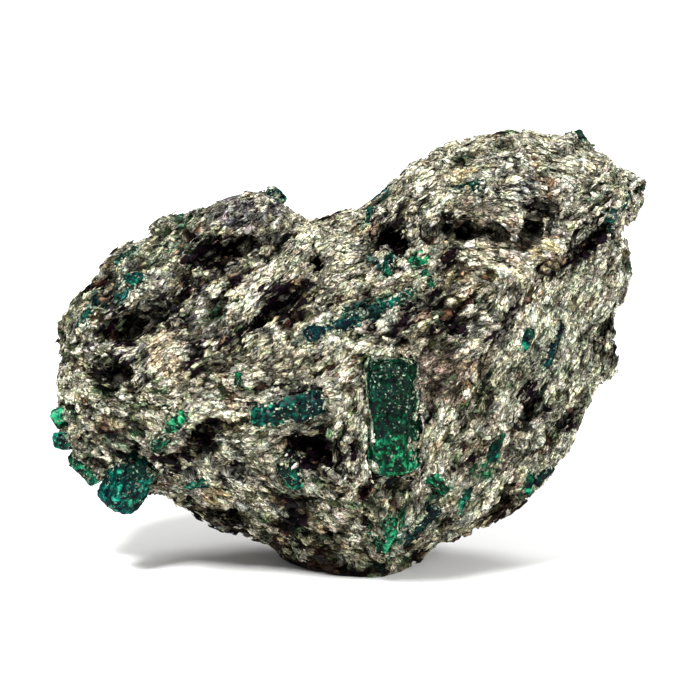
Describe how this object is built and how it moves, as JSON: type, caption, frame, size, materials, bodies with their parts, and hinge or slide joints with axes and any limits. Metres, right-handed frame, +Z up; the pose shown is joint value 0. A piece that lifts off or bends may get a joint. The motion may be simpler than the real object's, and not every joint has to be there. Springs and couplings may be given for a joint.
{
  "type": "emerald in matrix",
  "caption": "Craggy hump-backed lump of mica schist with hexagonal emerald crystals grown into it, resting on a small broken flat under its middle.",
  "frame": {"origin": "under the middle of the bounding box, on the plane the specimen rests on", "axes": "+Z up, +X to the right of the display side along the longest extent, -Y out of the display side"},
  "size_m": [0.0802, 0.0502, 0.0587],
  "materials": {
    "mica_schist": "rough, flaky, with a pearly glint on the mica",
    "emerald": "glassy and cloudy, part dulled by mica"
  },
  "bodies": {
    "root": {"mica_schist_matrix": "mica_schist", "emerald_main_prism": "emerald", "emerald_centre_prism": "emerald", "emerald_lower_prism": "emerald", "emerald_corner_stub": "emerald", "emerald_edge_upper": "emerald", "emerald_edge_middle": "emerald", "emerald_edge_lower": "emerald", "emerald_left_bright": "emerald", "emerald_left_crusted": "emerald", "emerald_underside_sliver": "emerald", "emerald_small_grain": "emerald", "emerald_foot_bright": "emerald", "emerald_foot_dark": "emerald", "emerald_below_main": "emerald", "emerald_right_foot": "emerald", "emerald_right_lower": "emerald", "emerald_edge_bright": "emerald", "emerald_edge_dark": "emerald", "emerald_side_green": "emerald", "emerald_side_long": "emerald", "emerald_saddle_bright": "emerald", "emerald_saddle_green": "emerald", "emerald_saddle_dark": "emerald", "emerald_band_right": "emerald", "emerald_band_left": "emerald", "emerald_hump_eye": "emerald", "emerald_crown_grain": "emerald", "emerald_hump_sliver": "emerald", "emerald_left_crest": "emerald", "emerald_left_pale": "emerald", "emerald_left_shoulder": "emerald", "emerald_left_flank": "emerald", "emerald_hump_foot": "emerald", "emerald_back_prism": "emerald", "emerald_back_upper": "emerald", "emerald_back_left": "emerald", "emerald_back_right": "emerald", "emerald_back_lower": "emerald", "emerald_back_grain": "emerald"}
  },
  "joints": []
}
